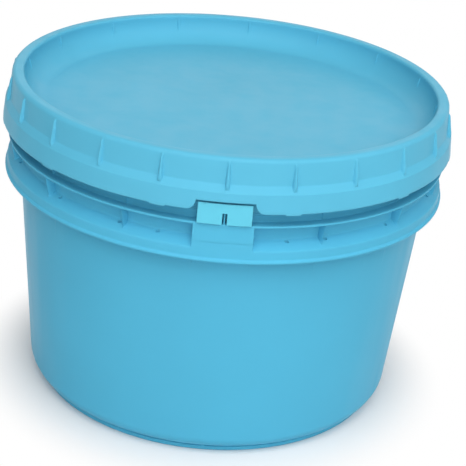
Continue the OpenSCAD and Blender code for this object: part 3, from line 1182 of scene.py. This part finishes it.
@dataclass(frozen=True)
class View:
    """The camera: where it stands, which way it looks and how long its lens is.

    Attributes:
        azimuth: Angle of the camera's place round the bucket, from the tab towards +X, in degrees.
        back: Distance of the camera from the bucket's axis, in metres.
        height: Height of the camera, in metres.
        heading: Direction in which it looks, clockwise from +Y, in degrees.
        pitch: How far it looks down, in degrees.
        roll: How far it is turned about its own line of sight, in degrees.
        lens: Focal length on a 36 mm sensor, in millimetres.
    """

    azimuth: float = -1.15
    back: float = 1.143
    height: float = 0.6512
    heading: float = 1.78
    pitch: float = 24.75
    roll: float = 5.45
    lens: float = 114.33

    def build(self) -> bpy.types.Object:
        """Builds the camera and makes it the scene's camera.

        Returns:
            The camera.
        """
        data = bpy.data.cameras.new("camera")
        data.lens = self.lens
        data.sensor_width = 36.0
        data.clip_start, data.clip_end = 0.05, 50.0
        camera = link_object("camera", data)
        place = math.radians(self.azimuth)
        spot = Vector((self.back * math.sin(place), -self.back * math.cos(place), self.height))
        turn = (Matrix.Rotation(-math.radians(self.heading), 4, "Z")
                @ Matrix.Rotation(math.radians(90.0 - self.pitch), 4, "X")
                @ Matrix.Rotation(math.radians(self.roll), 4, "Z"))
        camera.matrix_world = Matrix.Translation(spot) @ turn
        bpy.context.scene.camera = camera
        return camera


@dataclass(frozen=True)
class Softbox:
    """A square area lamp that faces the bucket.

    Attributes:
        name: Name of the lamp.
        azimuth: Angle of its place round the bucket, from the tab towards +X, in degrees.
        elevation: Angle of its place above the bucket's middle, in degrees.
        power: Power, in watts.
        distance: Distance from the bucket's middle, in metres.
        size: Width, in metres.
    """

    name: str
    azimuth: float
    elevation: float
    power: float
    distance: float = 2.4
    size: float = 1.5

    def build(self, target: Vector) -> None:
        """Builds the lamp.

        Args:
            target: Point that it faces, in metres.
        """
        data = bpy.data.lights.new(self.name, "AREA")
        data.shape = "SQUARE"
        data.size = self.size
        data.energy = self.power
        turn, rise = math.radians(self.azimuth), math.radians(self.elevation)
        way = Vector((math.sin(turn) * math.cos(rise), -math.cos(turn) * math.cos(rise), math.sin(rise)))
        lamp = link_object(self.name, data)
        lamp.location = target + self.distance * way
        lamp.rotation_euler = (-way).to_track_quat("-Z", "Y").to_euler()


@dataclass(frozen=True)
class Studio:
    """Pale floor, even surrounding light and softboxes.

    Attributes:
        softboxes: The lamps.
        surround: Strength of the white surroundings.
        floor_shade: Linear grey of the floor.
        floor_reach: Half the floor's width, in metres.
        white_from: Distance from the axis at which the floor begins to turn plain white, in metres.
        white_to: Distance from the axis past which the floor is plain white, in metres.
    """

    softboxes: tuple[Softbox, ...] = (
        Softbox("top_light", 0.0, 58.0, 24.0),
        Softbox("front_light", 5.0, 22.0, 18.0),
        Softbox("front_right_light", 45.0, 40.0, 13.0),
        Softbox("right_light", 85.0, 45.0, 9.0),
        Softbox("left_light", -42.0, 45.0, 12.0),
        Softbox("back_light", 180.0, 35.0, 6.0),
    )
    surround: float = 0.18
    floor_shade: float = 0.8
    floor_reach: float = 6.0
    white_from: float = 0.145
    white_to: float = 0.21

    def build(self, target: Vector) -> None:
        """Builds the world, the lamps and the floor.

        Args:
            target: Point that the lamps face, in metres.
        """
        world = bpy.data.worlds.new("surround")
        world.use_nodes = True
        bpy.context.scene.world = world
        self.dress_world(world.node_tree)
        for box in self.softboxes:
            box.build(target)
        corners = self.floor_reach * np.array([[-1, -1, 0], [1, -1, 0], [1, 1, 0], [-1, 1, 0]], float)
        floor = new_mesh("studio_floor", corners, [np.array([[0, 1, 2, 3]])])
        floor.data.materials.append(self.floor_material())

    def dress_world(self, tree: bpy.types.NodeTree) -> None:
        """Lights the scene evenly, and shows plain white where a ray from the camera or a mirror leaves.

        Args:
            tree: The world's tree.
        """
        strength = add_node(tree, "MapRange", {
            "Value": self.seen_directly(tree), "To Min": self.surround, "To Max": 1.0,
        })
        fill(tree, tree.nodes["Background"], {
            "Color": (1.0, 1.0, 1.0, 1.0), "Strength": strength.outputs["Result"],
        })

    @staticmethod
    def seen_directly(tree: bpy.types.NodeTree) -> bpy.types.NodeSocket:
        """Tells rays that show a thing directly from those that only carry its light.

        Args:
            tree: Tree that the nodes go into.

        Returns:
            Socket of 1 for a ray from the camera, a mirror or a clear surface, and 0 for any other.
        """
        path = add_node(tree, "LightPath", {})
        total = path.outputs["Is Camera Ray"]
        for kind in ("Is Glossy Ray", "Is Transmission Ray"):
            either = add_node(tree, "Math", {0: total, 1: path.outputs[kind]}, operation="MAXIMUM")
            total = either.outputs["Value"]
        return total

    def floor_material(self) -> bpy.types.Material:
        """Makes the floor matt and pale near the bucket, and plain white far from it.

        Returns:
            The material.
        """
        material = bpy.data.materials.new("studio_floor")
        material.use_nodes = True
        tree = material.node_tree
        shader = tree.nodes["Principled BSDF"]
        fill(tree, shader, {
            "Base Color": (*[self.floor_shade] * 3, 1.0),
            "Roughness": 0.9,
            "Specular IOR Level": 0.1,
        })
        place = add_node(tree, "TexCoord", {}).outputs["Object"]
        length = add_node(tree, "VectorMath", {0: place}, operation="LENGTH")
        far = add_node(tree, "MapRange", {
            "Value": length.outputs["Value"], "From Min": self.white_from, "From Max": self.white_to,
        }, interpolation_type="SMOOTHSTEP")
        both = add_node(tree, "Math", {0: far.outputs["Result"], 1: self.seen_directly(tree)},
                        operation="MULTIPLY")
        mix = add_node(tree, "MixShader", {
            "Fac": both.outputs["Value"],
            1: shader.outputs["BSDF"],
            2: add_node(tree, "Emission", {}).outputs["Emission"],
        })
        fill(tree, tree.nodes["Material Output"], {"Surface": mix.outputs["Shader"]})
        return material


# ---------------------------------------------------------------- assembly


def place_piece(obj: bpy.types.Object, material: bpy.types.Material, body: Body,
                nodes: Sequence[str] = ()) -> None:
    """Dresses a piece, and fixes it to its body.

    Args:
        obj: The piece.
        material: Its material.
        body: The body that it rides on.
        nodes: CAD nodes that it stands for.
    """
    obj.data.materials.clear()
    obj.data.materials.append(material)
    if nodes:
        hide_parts(*nodes)
    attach(obj, body.value)
    LOG.info("%s: %d faces, rides on %s", obj.name, len(obj.data.polygons), body.value)


def main() -> None:
    """Builds the camera, the bucket's pieces and the studio, in that order."""
    logging.basicConfig(level=logging.INFO, format="%(name)s %(message)s")
    bpy.context.scene.view_settings.view_transform = "Standard"
    View().build()
    tub_plastic = MouldedPlastic("tub_plastic", (0.082, 0.42, 0.615), sheen=0.06).build()
    lid_plastic = MouldedPlastic("lid_plastic", (0.098, 0.43, 0.607), sheen=0.07).build()
    tab_plastic = MouldedPlastic("tab_plastic", (0.115, 0.525, 0.685), cloud=0.03).build()
    seal = SealRubber("seal_rubber", (0.62, 0.64, 0.66)).build()
    fit = Fit.from_frame()
    tub, bridges, web = Tub(fit).build()
    place_piece(tub, tub_plastic, Body.TUB, ["tub", "collar"])
    place_piece(bridges, tub_plastic, Body.TUB)
    place_piece(web, tub_plastic, Body.TUB)
    place_piece(Lid(fit).build(), lid_plastic, Body.LID, ["lid"])
    place_piece(SealRing().build(), seal, Body.LID, ["lid_seal"])
    place_piece(TamperTab().build(), tab_plastic, Body.TAB, ["tamper_tab"])
    low, high = CAD_BOX
    Studio().build((low + high) / 2)


if __name__ == "__main__":
    main()
